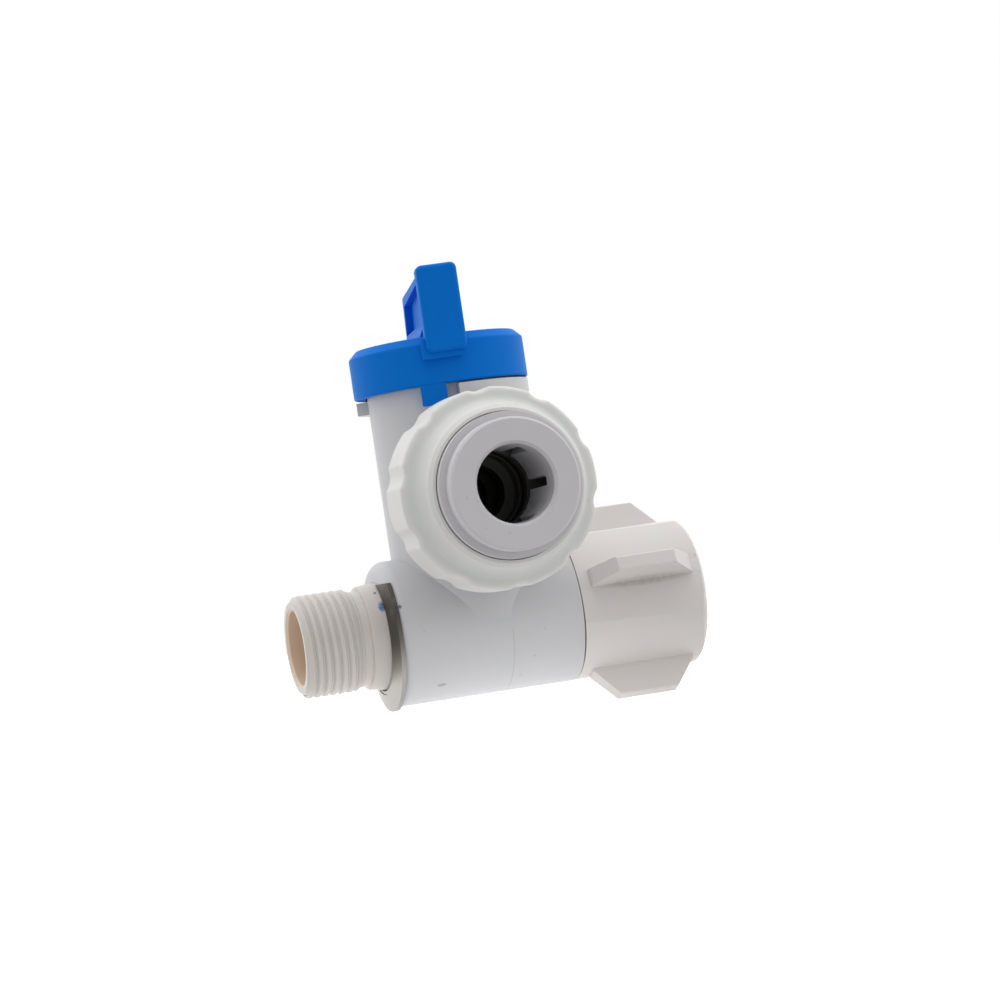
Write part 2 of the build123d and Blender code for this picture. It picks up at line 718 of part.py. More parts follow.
# Collar: a fluted rim round a core with a dished front
with BuildPart() as port_collar:
    with BuildSketch(across_port(collar_back)) as fluted_rim:
        flute_start = lobe_angle + FULL_TURN / flute_count / 2
        Circle(collar_radius)
        flute_centre = collar_radius + flute_cutter_radius - flute_depth
        with PolarLocations(flute_centre, flute_count, start_angle=flute_start):
            Circle(flute_cutter_radius, mode=Mode.SUBTRACT)
        lobe_corners = fluted_rim.vertices().filter_by(lambda corner: abs(corner.Z - port_height) > fit_gap)
        fillet(lobe_corners, flute_edge)
        Circle(collar_core_radius - collar_back_step, mode=Mode.SUBTRACT)
    extrude(amount=collar_depth)
    fillet(port_collar.faces().sort_by(PORT_AXIS)[-1].outer_wire().edges(), collar_rim_round)
    with BuildSketch(PORT):
        with BuildLine():
            dish_start = (collar_rim - collar_back_step, collar_core_radius)
            dish_end = (collar_lip - collar_lip_round, collar_lip_radius)
            lip_edge = (collar_lip, collar_lip_radius - collar_lip_round)
            Polyline(
                lip_edge,
                (collar_lip, collar_mouth_radius),
                (collar_floor, collar_mouth_radius),
                (collar_floor, collar_neck_radius),
                (collar_seat, collar_neck_radius),
                (port_spigot_length - collar_skirt_length, collet_cavity_radius - fit_gap - collar_skirt_edge),
                (port_spigot_length - collar_skirt_length, collet_cavity_radius - fit_gap),
                (collar_seat, collet_cavity_radius - fit_gap),
                (collar_seat, collar_bore_radius),
                (collar_back + collar_back_step, collar_bore_radius),
                (collar_back + collar_back_step, collar_core_radius),
                dish_start,
            )
            SagittaArc(dish_start, dish_end, -collar_dish_sag)
            Line(dish_end, lip_edge)
        make_face()
    revolve(axis=PORT_AXIS)
finish(port_collar, "port_collar")

# Collet and its steel teeth
tooth_centre = tube_bore_radius + tooth_height / 2 + fit_gap
tooth_start = collet_inner_end + tooth_place


def tooth_spots(radius):
    """One spot in the middle of each finger, at a radius."""
    return PolarLocations(radius, finger_count, start_angle=FULL_TURN / finger_count / 2)


with BuildPart() as collet:
    collet_half = outline(
        PORT,
        (collet_inner_end, tube_bore_radius),
        (collet_inner_end, collet_head_radius),
        (collet_inner_end + collet_head_length, collet_head_radius),
        (collet_inner_end + collet_head_length + collet_head_slope, collet_sleeve_radius),
        (collet_shoulder_back, collet_sleeve_radius),
        (collet_shoulder_back, collet_shoulder_radius),
        (collet_shoulder_front, collet_shoulder_radius),
        (collet_shoulder_front, collet_flange_radius),
        (collet_face - collet_flange_edge, collet_flange_radius),
        (collet_face, collet_flange_radius - collet_flange_edge),
        (collet_face, tube_bore_radius + collet_lead_in),
        (collet_face - collet_lead_in, tube_bore_radius),
    )
    revolve(collet_half, PORT_AXIS)
    with BuildSketch(across_port(collet_inner_end)):
        with PolarLocations(0, finger_count // 2, angular_range=FULL_TURN / 2):
            Rectangle(2 * collet_cavity_radius, finger_slot)
    extrude(amount=finger_length, mode=Mode.SUBTRACT)
    with BuildSketch(across_port(tooth_start - fit_gap)):
        with tooth_spots(tooth_centre - fit_gap):
            Rectangle(tooth_height + 2 * fit_gap, tooth_width + 2 * fit_gap)
    extrude(amount=tooth_thickness + 2 * fit_gap, mode=Mode.SUBTRACT)
finish(collet, "collet")

with BuildPart() as grip_teeth:
    with BuildSketch(across_port(tooth_start)):
        with tooth_spots(tooth_centre):
            Rectangle(tooth_height, tooth_width)
    extrude(amount=tooth_thickness)
    extrude(disc(across_port(tooth_start), tube_bore_radius), tooth_thickness, mode=Mode.SUBTRACT)
finish(grip_teeth, "grip_teeth")

# Tube O-ring and the spacer in front of it
with BuildPart() as tube_o_ring:
    ring_place = tube_ring_seat + tube_ring_cavity_length / 2
    revolve(cord_section(PORT, ring_place, tube_ring_middle, tube_ring_cord), PORT_AXIS)
finish(tube_o_ring, "tube_o_ring")

with BuildPart() as o_ring_spacer:
    with BuildSketch(across_port(spacer_place)):
        Circle(collet_cavity_radius - fit_gap)
        Circle(tube_bore_radius, mode=Mode.SUBTRACT)
    extrude(amount=spacer_thickness)
finish(o_ring_spacer, "o_ring_spacer")
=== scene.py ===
# %% [markdown]
# # A plastic angle valve
# This lesson dresses a small water valve: a white moulded body, a cream nut and nipple, a blue quarter-turn
# lever and a push-fit tube port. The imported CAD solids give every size, so each piece that is made here goes
# where a solid already is. First the solids are loaded and their box is kept.

# %% Load the solids
import json
from math import atan2, cos, degrees, hypot, pi, radians, sin

import bpy
from mathutils import Matrix, Vector


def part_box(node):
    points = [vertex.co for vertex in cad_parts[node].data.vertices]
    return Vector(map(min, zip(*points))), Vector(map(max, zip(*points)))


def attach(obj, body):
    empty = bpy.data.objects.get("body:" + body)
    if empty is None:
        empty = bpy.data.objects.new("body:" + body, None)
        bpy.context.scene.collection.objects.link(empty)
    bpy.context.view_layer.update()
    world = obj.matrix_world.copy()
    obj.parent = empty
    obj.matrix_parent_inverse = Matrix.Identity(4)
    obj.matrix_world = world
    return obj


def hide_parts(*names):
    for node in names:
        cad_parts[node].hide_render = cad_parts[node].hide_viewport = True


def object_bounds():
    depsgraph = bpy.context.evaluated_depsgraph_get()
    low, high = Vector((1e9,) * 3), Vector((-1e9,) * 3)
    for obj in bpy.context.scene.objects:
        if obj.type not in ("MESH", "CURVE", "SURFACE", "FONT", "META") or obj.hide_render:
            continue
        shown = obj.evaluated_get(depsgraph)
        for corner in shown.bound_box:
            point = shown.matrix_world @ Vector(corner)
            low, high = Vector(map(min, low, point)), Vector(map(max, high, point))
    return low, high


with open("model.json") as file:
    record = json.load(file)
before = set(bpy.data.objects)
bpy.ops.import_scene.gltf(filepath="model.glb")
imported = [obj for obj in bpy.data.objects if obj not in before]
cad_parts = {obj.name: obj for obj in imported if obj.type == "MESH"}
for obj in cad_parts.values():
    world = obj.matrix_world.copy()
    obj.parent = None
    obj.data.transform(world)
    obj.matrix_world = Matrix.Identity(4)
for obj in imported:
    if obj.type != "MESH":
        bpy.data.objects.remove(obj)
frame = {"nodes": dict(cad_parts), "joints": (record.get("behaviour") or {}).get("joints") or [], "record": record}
nodes = frame["nodes"]
cad_low, cad_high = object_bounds()
MM = 0.001
joints = {joint["name"]: joint for joint in frame["joints"]}
HUB = Vector(joints["handle_turn"]["pos_m"])
mounts = {mount["name"]: mount for mount in frame["record"]["mounts"]}
PORT_CENTRE = Vector((HUB.x, 0.0, mounts["tube_port"]["pos_m"][2]))
print("CAD box", tuple(cad_low), tuple(cad_high), "hub", tuple(HUB))

# %% [markdown]
# ## Turning a profile
# A turned or moulded round piece is a profile carried round an axis. Spin could do it, but here a circle is
# added and extruded from ring to ring, as by hand on a lathe: each step moves the open ring along the axis
# and scales it to the next radius. The last ring meets the first, and merging doubles closes the wall.

# %% Helpers for round pieces
ROUND_STEPS = 128
MERGE = 0.002 * MM


def deselect_all():
    """Leaves edit mode and selects nothing, because operators act on all that is selected."""
    if bpy.context.object and bpy.context.object.mode != "OBJECT":
        bpy.ops.object.mode_set(mode="OBJECT")
    bpy.ops.object.select_all(action="DESELECT")


def activate(piece):
    """Makes one piece the selected and active object."""
    deselect_all()
    piece.select_set(True)
    bpy.context.view_layer.objects.active = piece


def rest_at_origin(piece):
    """Puts a piece's place and turn into its mesh."""
    activate(piece)
    bpy.ops.object.transform_apply(location=True, rotation=True, scale=True)


def turned_along_run(name, profile):
    """Closed shell of revolution about the run's axis, from (place along X, radius) pairs in millimetres."""
    deselect_all()
    place, radius = profile[0]
    bpy.ops.mesh.primitive_circle_add(
        vertices=ROUND_STEPS, radius=radius * MM, location=(HUB.x + place * MM, 0, 0), rotation=(0, pi / 2, 0)
    )
    piece = bpy.context.object
    piece.name = name
    rest_at_origin(piece)
    bpy.ops.object.mode_set(mode="EDIT")
    bpy.ops.mesh.select_all(action="SELECT")
    for (last_place, last_radius), (place, radius) in zip(profile, profile[1:] + profile[:1]):
        bpy.ops.mesh.extrude_edges_move(TRANSFORM_OT_translate={"value": ((place - last_place) * MM, 0, 0)})
        ratio = radius / last_radius
        bpy.ops.transform.resize(value=(1, ratio, ratio), center_override=(HUB.x + place * MM, 0, 0))
    bpy.ops.mesh.select_all(action="SELECT")
    bpy.ops.mesh.remove_doubles(threshold=MERGE)
    bpy.ops.mesh.normals_make_consistent(inside=False)
    bpy.ops.object.mode_set(mode="OBJECT")
    print(name, len(piece.data.vertices), "vertices")
    return piece


def smooth(piece, limit=32):
    """Smooth shading, with edges sharper than an angle kept crisp."""
    activate(piece)
    bpy.ops.object.shade_smooth_by_angle(angle=radians(limit))


def even_shading(piece):
    """Lets wide faces set the shading normals, so that long thin triangles leave no streaks."""
    activate(piece)
    weighted = piece.modifiers.new("even_shading", "WEIGHTED_NORMAL")
    weighted.mode = "FACE_AREA"
    weighted.weight = 100
    weighted.keep_sharp = True
    bpy.ops.object.modifier_apply(modifier=weighted.name)


# %% [markdown]
# ## The outlet's thread
# A pipe thread is one ridge that winds round the core, and its crests catch the light, so a picture of a
# thread on a cylinder would look wrong at the edge. One tooth section is drawn, and the Screw modifier winds
# it. At its ends a real thread runs out: the free end is cut by the chamfer, and the inner end fades into the
# relief groove. Both are a limit on the radius, given by the place along the axis. Moulded threads have broad
# flat crests, and the outlet's grooves are shallow, as the photograph shows them.

# %% Thread ridge
PITCH = 1.337
THREAD_MAJOR = mounts["outlet"]["dims"]["r_mm"]
THREAD_MINOR = mounts["inlet"]["dims"]["r_mm"]
TOOTH_FOOT = 0.56
TOOTH_CREST = 0.36
CREST_ROUND = 0.1
RIDGE_SINK = 0.08
OUTLET_ROOT = THREAD_MAJOR - 0.42
STEPS_PER_TURN = 72


def thread_ridge(name, start, end, foot_radius, crest_radius):
    """Helical ridge about the run's axis from start to end, standing from foot_radius to crest_radius."""
    rise = 1 if crest_radius > foot_radius else -1
    section = [
        (-TOOTH_FOOT, foot_radius - rise * RIDGE_SINK),
        (-TOOTH_FOOT, foot_radius),
        (-TOOTH_CREST, crest_radius - rise * CREST_ROUND),
        (-TOOTH_CREST + CREST_ROUND, crest_radius),
        (TOOTH_CREST - CREST_ROUND, crest_radius),
        (TOOTH_CREST, crest_radius - rise * CREST_ROUND),
        (TOOTH_FOOT, foot_radius),
        (TOOTH_FOOT, foot_radius - rise * RIDGE_SINK),
    ]
    turns = (end - start) / PITCH
    deselect_all()
    bpy.ops.mesh.primitive_circle_add(vertices=len(section), radius=PITCH * MM)
    piece = bpy.context.object
    piece.name = name
    for vertex, (along, radius) in zip(piece.data.vertices, section):
        vertex.co = (HUB.x + (start + along) * MM, 0, radius * MM)
    screw = piece.modifiers.new("thread", "SCREW")
    screw.axis = "X"
    screw.angle = 2 * pi * turns
    screw.screw_offset = (end - start) * MM
    screw.steps = screw.render_steps = round(STEPS_PER_TURN * turns)
    bpy.ops.object.modifier_apply(modifier=screw.name)
    bpy.ops.object.mode_set(mode="EDIT")
    bpy.ops.mesh.select_all(action="SELECT")
    bpy.ops.mesh.fill_holes(sides=len(section))
    bpy.ops.mesh.normals_make_consistent(inside=False)
    bpy.ops.object.mode_set(mode="OBJECT")
    print(name, round(turns, 2), "turns", len(piece.data.vertices), "vertices")
    return piece


def limit_radius(piece, limit):
    """Pulls each point of a piece in to the radius that limit(place) allows, in millimetres from the hub."""
    for vertex in piece.data.vertices:
        radius = hypot(vertex.co.y, vertex.co.z)
        allowed = limit((vertex.co.x - HUB.x) / MM) * MM
        if radius > allowed:
            vertex.co.y *= allowed / radius
            vertex.co.z *= allowed / radius


def join(name, pieces):
    """Joins pieces into one object."""
    deselect_all()
    for piece in pieces:
        piece.select_set(True)
    bpy.context.view_layer.objects.active = pieces[0]
    bpy.ops.object.join()
    pieces[0].name = name
    pieces[0].data.name = name
    return pieces[0]


# %% [markdown]
# ## Outlet nipple
# The nipple is a tube with a chamfered mouth, the thread, a relief groove, a slightly tapered collar and a
# plain end that sits in the body. The CAD solid carries the thread as a plain cylinder at its major size, so
# the dressed nipple has a core at the thread's root and the wound ridge on it.

# %% Nipple
nipple_low, nipple_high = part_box("outlet_nipple")
NIPPLE_END = (nipple_low[0] - HUB.x) / MM
NIPPLE_INNER = (nipple_high[0] - HUB.x) / MM
NIPPLE_COLLAR = nipple_high[2] / MM
NIPPLE_BORE = 6.1
MOUTH_CHAMFER = 0.4
END_CHAMFER = 0.8
THREAD_LENGTH = 9.4
RELIEF_LENGTH = 1.5
RELIEF_RADIUS = 7.75
RELIEF_SLOPE = 0.25
COLLAR_LEAD = 2.6
COLLAR_STEP = 0.32
EDGE = 0.12
thread_end = NIPPLE_END + THREAD_LENGTH
relief_end = thread_end + RELIEF_LENGTH
nipple_core = turned_along_run(
    "nipple_core",
    [
        (NIPPLE_END + MOUTH_CHAMFER, NIPPLE_BORE),
        (NIPPLE_END, NIPPLE_BORE + MOUTH_CHAMFER),
        (NIPPLE_END, THREAD_MINOR - EDGE),
        (NIPPLE_END + EDGE, THREAD_MINOR),
        (NIPPLE_END + END_CHAMFER, OUTLET_ROOT),
        (thread_end, OUTLET_ROOT),
        (thread_end + RELIEF_SLOPE, RELIEF_RADIUS),
        (relief_end, RELIEF_RADIUS),
        (relief_end + EDGE, NIPPLE_COLLAR - COLLAR_STEP - EDGE),
        (relief_end + 2 * EDGE, NIPPLE_COLLAR - COLLAR_STEP),
        (relief_end + COLLAR_LEAD, NIPPLE_COLLAR),
        (NIPPLE_INNER, NIPPLE_COLLAR),
        (NIPPLE_INNER, NIPPLE_BORE),
    ],
)
outlet_thread = thread_ridge(
    "outlet_thread", NIPPLE_END + PITCH / 4, thread_end - PITCH / 4, OUTLET_ROOT, THREAD_MAJOR
)
RUN_OUT = 1.1


def outlet_limit(place):
    """Radius that the chamfer at the mouth and the run-out before the relief leave to the thread."""
    chamfered = THREAD_MAJOR - END_CHAMFER + (place - NIPPLE_END)
    fading = RELIEF_RADIUS + (thread_end - place) * (THREAD_MAJOR - THREAD_MINOR) / RUN_OUT
    return max(NIPPLE_BORE + MOUTH_CHAMFER, min(THREAD_MAJOR, chamfered, fading))


limit_radius(outlet_thread, outlet_limit)
for vertex in outlet_thread.data.vertices:
    vertex.co.x = max(vertex.co.x, HUB.x + (NIPPLE_END + EDGE / 2) * MM)
threaded_nipple = join("threaded_nipple", [nipple_core, outlet_thread])
smooth(threaded_nipple)
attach(threaded_nipple, "valve_body")
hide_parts("outlet_nipple")

# %% [markdown]
# ## Inlet nut
# The nut's outside is right as the CAD made it, so a copy of that mesh is kept, and its bore is opened to
# the thread's major size. A second ridge, wound inwards, then stands on the bore's wall. The nut's left face
# comes a little closer to the body, because the gap between them is only a hairline. The four sides of the
# nut are bulged, and in soft light they would melt into one round, so their shading normals are turned
# towards the middle of each side. A corner then shows where the photograph has one.

# %% Nut
activate(nodes["inlet_nut"])
bpy.ops.object.duplicate()
nut_shell = bpy.context.object
nut_shell.name = "nut_shell"
for key in list(nut_shell.keys()):
    del nut_shell[key]
nut_shell.parent = None
bpy.ops.object.mode_set(mode="EDIT")
bpy.ops.mesh.select_all(action="SELECT")
bpy.ops.mesh.remove_doubles(threshold=MERGE)
bpy.ops.object.mode_set(mode="OBJECT")
nut_low, nut_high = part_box("inlet_nut")
NUT_START = (nut_low[0] - HUB.x) / MM
NUT_END = (nut_high[0] - HUB.x) / MM
INLET_MOUTH = -HUB.x / MM
INLET_LENGTH = mounts["inlet"]["dims"]["length_mm"]
MOUTH_FLARE = 0.2
NUT_CREASE = 9
GAP_CLOSED = 0.4
SIDE_MIDDLE = 30
SIDE_SPAN = 90
SIDE_SHARE = 0.62
SIDE_HALF = 60
SIDE_REACH = 12.3
WALL_TOUCH = 0.02
bore_points = 0
for vertex in nut_shell.data.vertices:
    radius = hypot(vertex.co.y, vertex.co.z) / MM
    place = (vertex.co.x - HUB.x) / MM
    opened = None
    if abs(radius - THREAD_MINOR) < WALL_TOUCH:
        opened = THREAD_MAJOR
    elif place > NUT_END - WALL_TOUCH and radius < THREAD_MAJOR:
        opened = THREAD_MAJOR + MOUTH_FLARE
    if opened:
        vertex.co.y *= opened / radius
        vertex.co.z *= opened / radius
        bore_points += 1
    if place < NUT_START + WALL_TOUCH:
        vertex.co.x -= GAP_CLOSED * MM
print("opened", bore_points, "points of the nut's bore")
inlet_thread = thread_ridge(
    "inlet_thread",
    INLET_MOUTH - INLET_LENGTH + PITCH / 2,
    INLET_MOUTH - PITCH / 4,
    THREAD_MAJOR,
    THREAD_MINOR,
)
winged_nut = join("winged_nut", [nut_shell, inlet_thread])
smooth(winged_nut, NUT_CREASE)
even_shading(winged_nut)


def turn_about_run(vector):
    """Angle of a vector about the run's axis, in degrees up from the front."""
    return degrees(atan2(vector.z, -vector.y))


def turn_between(first, second):
    """Shorter way from the second angle to the first, in degrees."""
    return (first - second + 180) % 360 - 180


def flat_sides(piece):
    """Turns the shading normals of the bulged sides, so that each looks flatter and its corners show."""
    mesh = piece.data
    normals = [corner.vector.copy() for corner in mesh.corner_normals]
    turned = 0
    for face in mesh.polygons:
        side = round((turn_about_run(face.center) - SIDE_MIDDLE) / SIDE_SPAN)
        middle = SIDE_MIDDLE + SIDE_SPAN * side
        for corner in face.loop_indices:
            normal = normals[corner]
            point = mesh.vertices[mesh.loops[corner].vertex_index].co
            faces_out = abs(turn_between(turn_about_run(normal), middle)) < SIDE_HALF
            if faces_out and hypot(point.y, point.z) < SIDE_REACH * MM:
                away = turn_between(turn_about_run(point), middle)
                shaded = radians(middle + away * SIDE_SHARE)
                tilt = hypot(normal.y, normal.z)
                normals[corner] = Vector((normal.x, -tilt * cos(shaded), tilt * sin(shaded)))
                turned += 1
    mesh.normals_split_custom_set(normals)
    print("turned", turned, "shading normals of", piece.name)


flat_sides(winged_nut)
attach(winged_nut, "nut_body")
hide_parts("inlet_nut")

# %% [markdown]
# ## Collar
# The collar's front rises from the fluted rim to a lip round the collet. The moulding has no crease there:
# the rim flows into the rise. A thin turned ring fills the crease. Its curve leaves the rim level and meets
# the rise at its slope, and its back lies inside the collar.

# %% Cove
RIM_BEHIND_LIP = 5.1
COVE_OUTER = 14.65
COVE_INNER = 13.0
COVE_RISE = 1.4
COVE_SLOPE = 2.09
COVE_REACH = 0.75
COVE_STEPS = 12
COVE_BACK = 0.3
collar_low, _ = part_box("port_collar")
RIM_FRONT = collar_low[1] / MM + RIM_BEHIND_LIP


def cove_point(share):
    """Place along the port's axis and radius on the curve, at a share of the way from the rim to the rise."""
    climb = COVE_RISE * share * share * (3 - 2 * share)
    lean = COVE_SLOPE * (COVE_OUTER - COVE_INNER) * share * share * (1 - share)
    return (RIM_FRONT - climb + lean, COVE_OUTER - share * (COVE_OUTER - COVE_INNER))


cove_front = [cove_point(COVE_REACH * step / COVE_STEPS) for step in range(COVE_STEPS + 1)]
cove_back = [
    (RIM_FRONT + COVE_BACK, cove_front[-1][1]),
    (RIM_FRONT + COVE_BACK, COVE_OUTER - COVE_BACK),
]
collar_cove = turned_along_run("collar_cove", cove_front + cove_back)
run_to_port = Matrix.Rotation(pi / 2, 4, "Z")
collar_cove.matrix_world = Matrix.Translation(PORT_CENTRE) @ run_to_port @ Matrix.Translation(-HUB)
rest_at_origin(collar_cove)
smooth(collar_cove)
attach(collar_cove, "valve_body")

# %% [markdown]
# ## Finishes
# Moulded plastic is never one flat colour: it has a fine skin that breaks up the gloss, slow changes of tone
# from the melt, and a little grey dust from handling. The skin and the dust are node groups with named
# sockets, placed in the materials with strengths of their own. Colours are given as seen on a screen and
# turned into the linear values that shaders use.

# %% Node groups
TONE_SCALE = 55.0
TONE_DETAIL = 3.0
GRAIN_DETAIL = 2.0
SPECK_DETAIL = 4.0
SPECK_LEVEL = 0.69
PATCH_SCALE = 120.0
PATCH_DETAIL = 2.0
PATCH_LEVEL = 0.56
WHITE = (1.0, 1.0, 1.0, 1.0)


def screen_colour(red, green, blue):
    """Linear colour of an 8-bit screen colour."""
    def linear(value):
        share = value / 255
        return share / 12.92 if share <= 0.04045 else ((share + 0.055) / 1.055) ** 2.4
    return (linear(red), linear(green), linear(blue), 1.0)


def new_group(name, inputs, outputs):
    """Shader node group with float or colour sockets, and its input and output nodes."""
    group = bpy.data.node_groups.new(name, "ShaderNodeTree")
    for label, value in inputs.items():
        kind = "NodeSocketColor" if isinstance(value, tuple) else "NodeSocketFloat"
        socket = group.interface.new_socket(label, in_out="INPUT", socket_type=kind)
        socket.default_value = value
    for label, kind in outputs.items():
        group.interface.new_socket(label, in_out="OUTPUT", socket_type=kind)
    return group, group.nodes.new("NodeGroupInput"), group.nodes.new("NodeGroupOutput")


def math_node(group, operation, first, second):
    """Math node fed by sockets or numbers; returns its output socket."""
    node = group.nodes.new("ShaderNodeMath")
    node.operation = operation
    for socket, value in zip(node.inputs, (first, second)):
        if isinstance(value, (int, float)):
            socket.default_value = value
        else:
            group.links.new(value, socket)
    return node.outputs[0]


def noise(group, scale, detail):
    """Noise on Object coordinates; scale is a number or a socket. Returns the value socket."""
    where = group.nodes.new("ShaderNodeTexCoord")
    node = group.nodes.new("ShaderNodeTexNoise")
    node.inputs["Detail"].default_value = detail
    group.links.new(where.outputs["Object"], node.inputs["Vector"])
    if isinstance(scale, (int, float)):
        node.inputs["Scale"].default_value = scale
    else:
        group.links.new(scale, node.inputs["Scale"])
    return node.outputs["Fac"]


def blend_colours(group, share, first, second):
    """Mix node between two colours; returns the colour socket."""
    node = group.nodes.new("ShaderNodeMix")
    node.data_type = "RGBA"
    group.links.new(share, node.inputs["Factor"])
    for socket, value in ((node.inputs["A"], first), (node.inputs["B"], second)):
        if isinstance(value, tuple):
            socket.default_value = value
        else:
            group.links.new(value, socket)
    return node.outputs["Result"]


def moulded_skin_group():
    """Slow tone changes, roughness and fine relief of a moulded skin."""
    group, given, result = new_group(
        "moulded_skin",
        {"Colour": WHITE, "Tint": (0.9, 0.9, 0.9, 1.0), "Tint share": 0.3, "Roughness": 0.4,
         "Roughness spread": 0.12, "Grain scale": 4000.0},
        {"Colour": "NodeSocketColor", "Roughness": "NodeSocketFloat", "Height": "NodeSocketFloat"},
    )
    slow = noise(group, TONE_SCALE, TONE_DETAIL)
    share = math_node(group, "MULTIPLY", slow, given.outputs["Tint share"])
    colour = blend_colours(group, share, given.outputs["Colour"], given.outputs["Tint"])
    grain = noise(group, given.outputs["Grain scale"], GRAIN_DETAIL)
    centred = math_node(group, "SUBTRACT", slow, 0.5)
    spread = math_node(group, "MULTIPLY", centred, given.outputs["Roughness spread"])
    roughness = math_node(group, "ADD", given.outputs["Roughness"], spread)
    group.links.new(colour, result.inputs["Colour"])
    group.links.new(roughness, result.inputs["Roughness"])
    group.links.new(grain, result.inputs["Height"])
    return group


def handling_dust_group():
    """Small grey specks that stick to a handled part."""
    group, given, result = new_group(
        "handling_dust",
        {"Colour": WHITE, "Dust colour": (0.3, 0.3, 0.3, 1.0), "Amount": 0.3, "Scale": 900.0},
        {"Colour": "NodeSocketColor"},
    )
    specks = noise(group, given.outputs["Scale"], SPECK_DETAIL)
    patches = noise(group, PATCH_SCALE, PATCH_DETAIL)
    tall = math_node(group, "GREATER_THAN", specks, SPECK_LEVEL)
    near = math_node(group, "GREATER_THAN", patches, PATCH_LEVEL)
    both = math_node(group, "MULTIPLY", tall, near)
    share = math_node(group, "MULTIPLY", both, given.outputs["Amount"])
    dusty = blend_colours(group, share, given.outputs["Colour"], given.outputs["Dust colour"])
    group.links.new(dusty, result.inputs["Colour"])
    return group


SKIN = moulded_skin_group()
DUST = handling_dust_group()
print("groups", SKIN.name, DUST.name)

# %% [markdown]
# ## Marks with a place
# Some marks sit at one place on the part: the hairline where the melt met in the body's mould, the amber glow
# inside the thin nipple, painted shade in the depth of the tube port, a painted dark reflection on the clip's
# upper half, and a few spots, among them a painted blue reflection on the nipple and painted shade under the
# nut's front wing. Each reads Object coordinates, which are the frame's own coordinates here, so a mark is
# placed in metres.

# %% Placed marks
WELD_PLACE = 3.0 * MM
WELD_WAVER = 0.3 * MM
WELD_WAVER_SCALE = 300.0
WELD_EDGE = 0.14 * MM
WELD_CORE = 0.04 * MM
WELD_TOP = -1.0 * MM
WELD_FULL = -3.0 * MM
AMBER_EDGE = 0.5 * MM
AMBER_FULL = 0.1 * MM
TRACE_REACH = 16 * MM
# Painted shade inside the tube port: where it starts and is full across the bore, and along the port.
PORT_SHADE_EDGE = 10.0 * MM
PORT_SHADE_FULL_RADIUS = 9.6 * MM
PORT_SHADE_BACK = -2.0 * MM
PORT_SHADE_FRONT = -4.0 * MM
SPOT_CORE = 0.4
SPOT_GRAIN = 1500.0
SPOT_FRONT = -1.0 * MM
# Painted dark reflection on the clip's upper half, broken into streaks.
REFLECTION_LOW = -7.5 * MM
REFLECTION_FULL = -0.5 * MM
REFLECTION_GRAIN = 260.0
REFLECTION_LIGHT = 0.1
REFLECTION_DARK = 0.55
FINE_DETAIL = 2.0


def axes(group):
    """X, Y and Z sockets of the Object coordinates."""
    where = group.nodes.new("ShaderNodeTexCoord")
    parts = group.nodes.new("ShaderNodeSeparateXYZ")
    group.links.new(where.outputs["Object"], parts.inputs["Vector"])
    return parts.outputs["X"], parts.outputs["Y"], parts.outputs["Z"]


def between(group, value, low, high):
    """Share that rises smoothly from 0 at low to 1 at high."""
    ramp = group.nodes.new("ShaderNodeMapRange")
    ramp.interpolation_type = "SMOOTHSTEP"
    ramp.inputs["From Min"].default_value = low
    ramp.inputs["From Max"].default_value = high
    group.links.new(value, ramp.inputs["Value"])
    return ramp.outputs["Result"]


def distance_from(group, first, second):
    """Length of the vector with two sides."""
    square = math_node(group, "ADD", math_node(group, "MULTIPLY", first, first),
                       math_node(group, "MULTIPLY", second, second))
    return math_node(group, "SQRT", square, 0.0)


def tinted_by(group, given, result, mask, label):
    """Mixes the group's second colour in where the mask says so, and sends the result out."""
    share = math_node(group, "MULTIPLY", mask, given.outputs["Amount"])
    colour = blend_colours(group, share, given.outputs["Colour"], given.outputs[label])
    group.links.new(colour, result.inputs["Colour"])


def weld_line_group():
    """Hairline round the lower half of the run, where the melt met."""
    group, given, result = new_group(
        "weld_line",
        {"Colour": WHITE, "Line colour": screen_colour(150, 150, 152), "Amount": 0.3},
        {"Colour": "NodeSocketColor"},
    )
    along, _, height = axes(group)
    waver = math_node(group, "MULTIPLY", noise(group, WELD_WAVER_SCALE, FINE_DETAIL), WELD_WAVER)
    offset = math_node(group, "SUBTRACT", math_node(group, "ADD", along, waver), HUB.x + WELD_PLACE)
    distance = math_node(group, "ABSOLUTE", offset, 0.0)
    on_line = between(group, distance, WELD_EDGE, WELD_CORE)
    below = between(group, height, WELD_TOP, WELD_FULL)
    tinted_by(group, given, result, math_node(group, "MULTIPLY", on_line, below), "Line colour")
    return group


def amber_bore_group():
    """Warm light that shines through the thin wall inside the nipple, and a trace of it outside."""
    group, given, result = new_group(
        "amber_bore",
        {"Colour": WHITE, "Amber": screen_colour(238, 212, 184), "Amount": 0.8,
         "Trace colour": screen_colour(180, 164, 148), "Trace": 0.18},
        {"Colour": "NodeSocketColor"},
    )
    along, across, height = axes(group)
    bore = NIPPLE_BORE * MM
    inside = between(group, distance_from(group, across, height), bore + AMBER_EDGE, bore + AMBER_FULL)
    towards_mouth = between(group, along, HUB.x, HUB.x - TRACE_REACH)
    outside = math_node(group, "MULTIPLY", towards_mouth, given.outputs["Trace"])
    traced = blend_colours(group, outside, given.outputs["Colour"], given.outputs["Trace colour"])
    share = math_node(group, "MULTIPLY", inside, given.outputs["Amount"])
    group.links.new(blend_colours(group, share, traced, given.outputs["Amber"]), result.inputs["Colour"])
    return group


